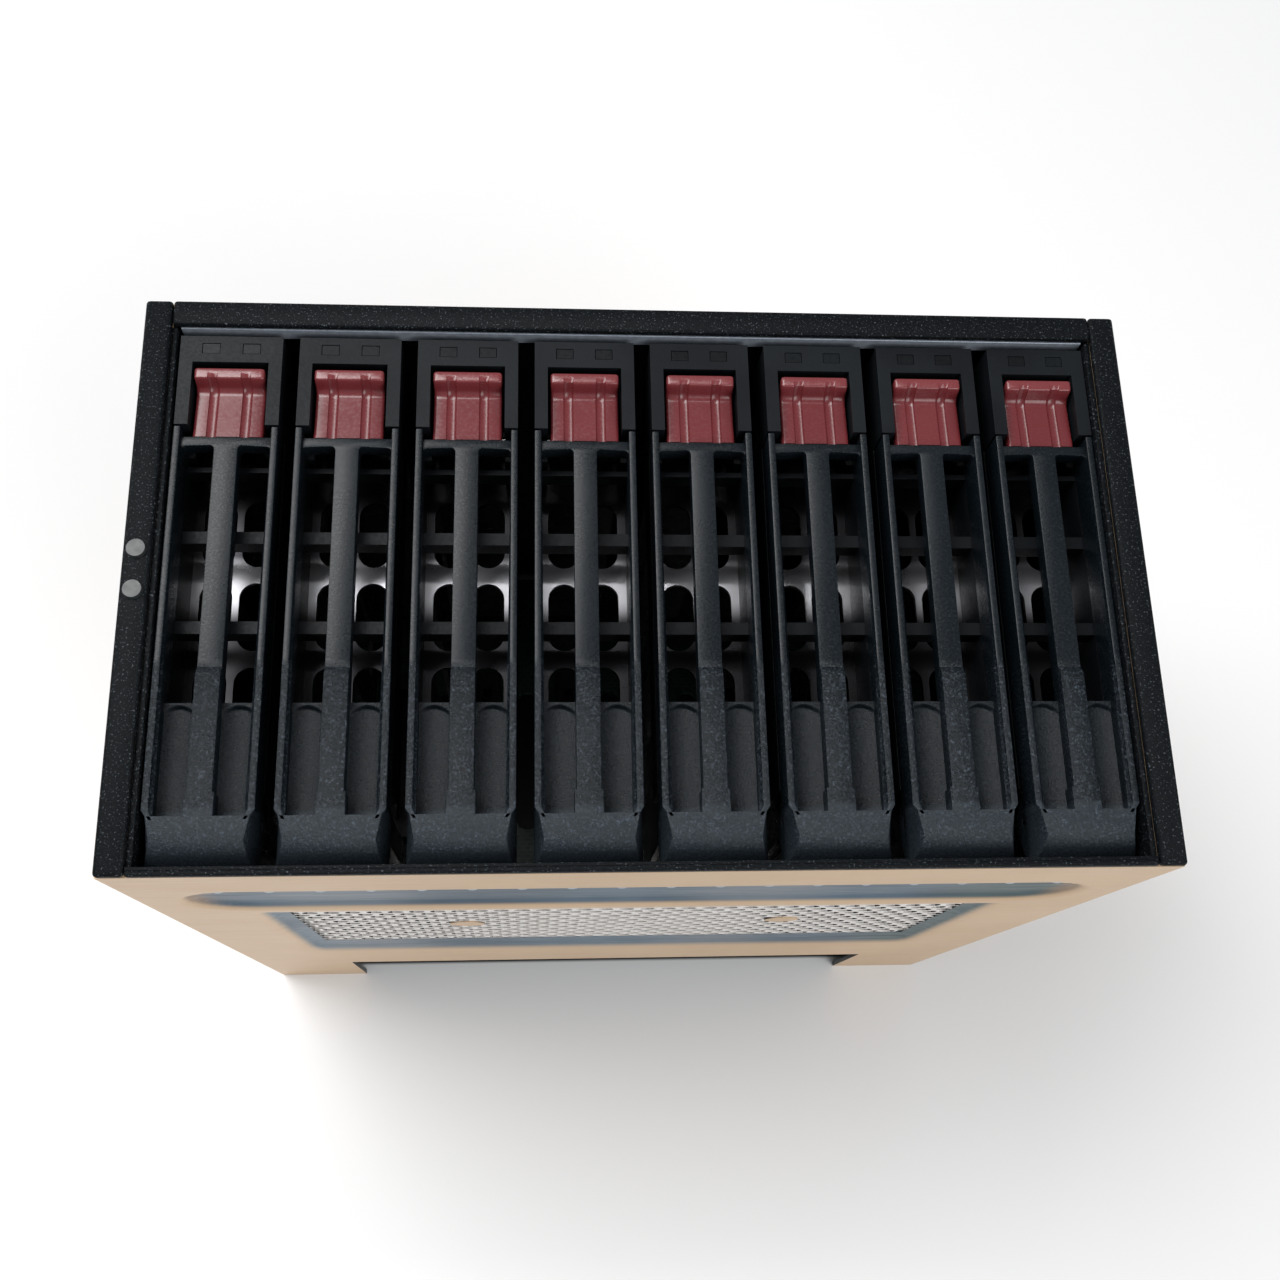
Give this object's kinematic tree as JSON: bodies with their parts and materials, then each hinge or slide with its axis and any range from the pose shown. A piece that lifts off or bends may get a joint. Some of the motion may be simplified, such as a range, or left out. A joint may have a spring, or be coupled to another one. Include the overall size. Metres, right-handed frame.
{
  "type": "hot swap drive cage",
  "caption": "Sheet metal cage with a row of pull-out drive carriers, each with an ejector lever and a sprung thumb latch, and a backplane behind them.",
  "frame": {"origin": "middle of the open rear end, on the surface that the cage stands on with its bays upwards", "axes": "+Z out of the bays, +X along the row of bays, +Y towards the latch end of the carriers"},
  "size_m": [0.175, 0.1014, 0.1808],
  "materials": {
    "zinc_steel": "zinc plated sheet, satin",
    "black_paint": "fine textured black powder coat",
    "rivet_steel": "black painted rivet heads",
    "circuit_board": "green solder mask",
    "screw_steel": "plated",
    "socket_plastic": "moulded",
    "connector_metal": "plated shells",
    "guide_plastic": "moulded",
    "tray_steel": "galvanised sheet",
    "carrier_plastic": "fine moulded texture",
    "lever_plastic": "fine moulded texture",
    "latch_plastic": "dark red, satin",
    "pin_steel": "bright pins and spring",
    "light_pipe": "smoked clear"
  },
  "bodies": {
    "cage": {"left_plate": "zinc_steel", "right_plate": "zinc_steel", "top_plate": "zinc_steel", "bottom_plate": "zinc_steel", "front_frame": "black_paint", "frame_rivets": "rivet_steel", "backplane": "circuit_board", "backplane_screws": "screw_steel", "drive_sockets": "socket_plastic", "cable_connectors": "connector_metal", "upper_guides": "guide_plastic", "lower_guides": "guide_plastic"},
    "carrier_1": {"tray_1": "tray_steel", "bezel_1": "carrier_plastic", "pivots_1": "pin_steel", "light_pipes_1": "light_pipe"},
    "lever_arm_1": {"lever_1": "lever_plastic"},
    "latch_arm_1": {"latch_1": "latch_plastic"},
    "carrier_2": {"tray_2": "tray_steel", "bezel_2": "carrier_plastic", "pivots_2": "pin_steel", "light_pipes_2": "light_pipe"},
    "lever_arm_2": {"lever_2": "lever_plastic"},
    "latch_arm_2": {"latch_2": "latch_plastic"},
    "carrier_3": {"tray_3": "tray_steel", "bezel_3": "carrier_plastic", "pivots_3": "pin_steel", "light_pipes_3": "light_pipe"},
    "lever_arm_3": {"lever_3": "lever_plastic"},
    "latch_arm_3": {"latch_3": "latch_plastic"},
    "carrier_4": {"tray_4": "tray_steel", "bezel_4": "carrier_plastic", "pivots_4": "pin_steel", "light_pipes_4": "light_pipe"},
    "lever_arm_4": {"lever_4": "lever_plastic"},
    "latch_arm_4": {"latch_4": "latch_plastic"},
    "carrier_5": {"tray_5": "tray_steel", "bezel_5": "carrier_plastic", "pivots_5": "pin_steel", "light_pipes_5": "light_pipe"},
    "lever_arm_5": {"lever_5": "lever_plastic"},
    "latch_arm_5": {"latch_5": "latch_plastic"},
    "carrier_6": {"tray_6": "tray_steel", "bezel_6": "carrier_plastic", "pivots_6": "pin_steel", "light_pipes_6": "light_pipe"},
    "lever_arm_6": {"lever_6": "lever_plastic"},
    "latch_arm_6": {"latch_6": "latch_plastic"},
    "carrier_7": {"tray_7": "tray_steel", "bezel_7": "carrier_plastic", "pivots_7": "pin_steel", "light_pipes_7": "light_pipe"},
    "lever_arm_7": {"lever_7": "lever_plastic"},
    "latch_arm_7": {"latch_7": "latch_plastic"},
    "carrier_8": {"tray_8": "tray_steel", "bezel_8": "carrier_plastic", "pivots_8": "pin_steel", "light_pipes_8": "light_pipe"},
    "lever_arm_8": {"lever_8": "lever_plastic"},
    "latch_arm_8": {"latch_8": "latch_plastic"}
  },
  "joints": [
    {"name": "carrier_slide_1", "type": "slide", "parent": "cage", "child": "carrier_1", "axis": [0, 0, 1], "range_m": [0, 0.11]},
    {"name": "lever_swing_1", "type": "hinge", "parent": "carrier_1", "child": "lever_arm_1", "pos_m": [-0.07255, -0.0416, 0.1712], "axis": [1, 0, 0], "range_deg": [0, 50]},
    {"name": "latch_press_1", "type": "hinge", "parent": "carrier_1", "child": "latch_arm_1", "pos_m": [-0.07255, 0.031, 0.1655], "axis": [1, 0, 0], "range_deg": [-5, 0], "stiffness_Nm_per_rad": 0.05, "springref_deg": 5.16},
    {"name": "carrier_slide_2", "type": "slide", "parent": "cage", "child": "carrier_2", "axis": [0, 0, 1], "range_m": [0, 0.11]},
    {"name": "lever_swing_2", "type": "hinge", "parent": "carrier_2", "child": "lever_arm_2", "pos_m": [-0.05183, -0.0416, 0.1712], "axis": [1, 0, 0], "range_deg": [0, 50]},
    {"name": "latch_press_2", "type": "hinge", "parent": "carrier_2", "child": "latch_arm_2", "pos_m": [-0.05183, 0.031, 0.1655], "axis": [1, 0, 0], "range_deg": [-5, 0], "stiffness_Nm_per_rad": 0.05, "springref_deg": 5.16},
    {"name": "carrier_slide_3", "type": "slide", "parent": "cage", "child": "carrier_3", "axis": [0, 0, 1], "range_m": [0, 0.11]},
    {"name": "lever_swing_3", "type": "hinge", "parent": "carrier_3", "child": "lever_arm_3", "pos_m": [-0.0311, -0.0416, 0.1712], "axis": [1, 0, 0], "range_deg": [0, 50]},
    {"name": "latch_press_3", "type": "hinge", "parent": "carrier_3", "child": "latch_arm_3", "pos_m": [-0.0311, 0.031, 0.1655], "axis": [1, 0, 0], "range_deg": [-5, 0], "stiffness_Nm_per_rad": 0.05, "springref_deg": 5.16},
    {"name": "carrier_slide_4", "type": "slide", "parent": "cage", "child": "carrier_4", "axis": [0, 0, 1], "range_m": [0, 0.11]},
    {"name": "lever_swing_4", "type": "hinge", "parent": "carrier_4", "child": "lever_arm_4", "pos_m": [-0.01036, -0.0416, 0.1712], "axis": [1, 0, 0], "range_deg": [0, 50]},
    {"name": "latch_press_4", "type": "hinge", "parent": "carrier_4", "child": "latch_arm_4", "pos_m": [-0.01036, 0.031, 0.1655], "axis": [1, 0, 0], "range_deg": [-5, 0], "stiffness_Nm_per_rad": 0.05, "springref_deg": 5.16},
    {"name": "carrier_slide_5", "type": "slide", "parent": "cage", "child": "carrier_5", "axis": [0, 0, 1], "range_m": [0, 0.11]},
    {"name": "lever_swing_5", "type": "hinge", "parent": "carrier_5", "child": "lever_arm_5", "pos_m": [0.01036, -0.0416, 0.1712], "axis": [1, 0, 0], "range_deg": [0, 50]},
    {"name": "latch_press_5", "type": "hinge", "parent": "carrier_5", "child": "latch_arm_5", "pos_m": [0.01036, 0.031, 0.1655], "axis": [1, 0, 0], "range_deg": [-5, 0], "stiffness_Nm_per_rad": 0.05, "springref_deg": 5.16},
    {"name": "carrier_slide_6", "type": "slide", "parent": "cage", "child": "carrier_6", "axis": [0, 0, 1], "range_m": [0, 0.11]},
    {"name": "lever_swing_6", "type": "hinge", "parent": "carrier_6", "child": "lever_arm_6", "pos_m": [0.0311, -0.0416, 0.1712], "axis": [1, 0, 0], "range_deg": [0, 50]},
    {"name": "latch_press_6", "type": "hinge", "parent": "carrier_6", "child": "latch_arm_6", "pos_m": [0.0311, 0.031, 0.1655], "axis": [1, 0, 0], "range_deg": [-5, 0], "stiffness_Nm_per_rad": 0.05, "springref_deg": 5.16},
    {"name": "carrier_slide_7", "type": "slide", "parent": "cage", "child": "carrier_7", "axis": [0, 0, 1], "range_m": [0, 0.11]},
    {"name": "lever_swing_7", "type": "hinge", "parent": "carrier_7", "child": "lever_arm_7", "pos_m": [0.05183, -0.0416, 0.1712], "axis": [1, 0, 0], "range_deg": [0, 50]},
    {"name": "latch_press_7", "type": "hinge", "parent": "carrier_7", "child": "latch_arm_7", "pos_m": [0.05183, 0.031, 0.1655], "axis": [1, 0, 0], "range_deg": [-5, 0], "stiffness_Nm_per_rad": 0.05, "springref_deg": 5.16},
    {"name": "carrier_slide_8", "type": "slide", "parent": "cage", "child": "carrier_8", "axis": [0, 0, 1], "range_m": [0, 0.11]},
    {"name": "lever_swing_8", "type": "hinge", "parent": "carrier_8", "child": "lever_arm_8", "pos_m": [0.07255, -0.0416, 0.1712], "axis": [1, 0, 0], "range_deg": [0, 50]},
    {"name": "latch_press_8", "type": "hinge", "parent": "carrier_8", "child": "latch_arm_8", "pos_m": [0.07255, 0.031, 0.1655], "axis": [1, 0, 0], "range_deg": [-5, 0], "stiffness_Nm_per_rad": 0.05, "springref_deg": 5.16}
  ]
}
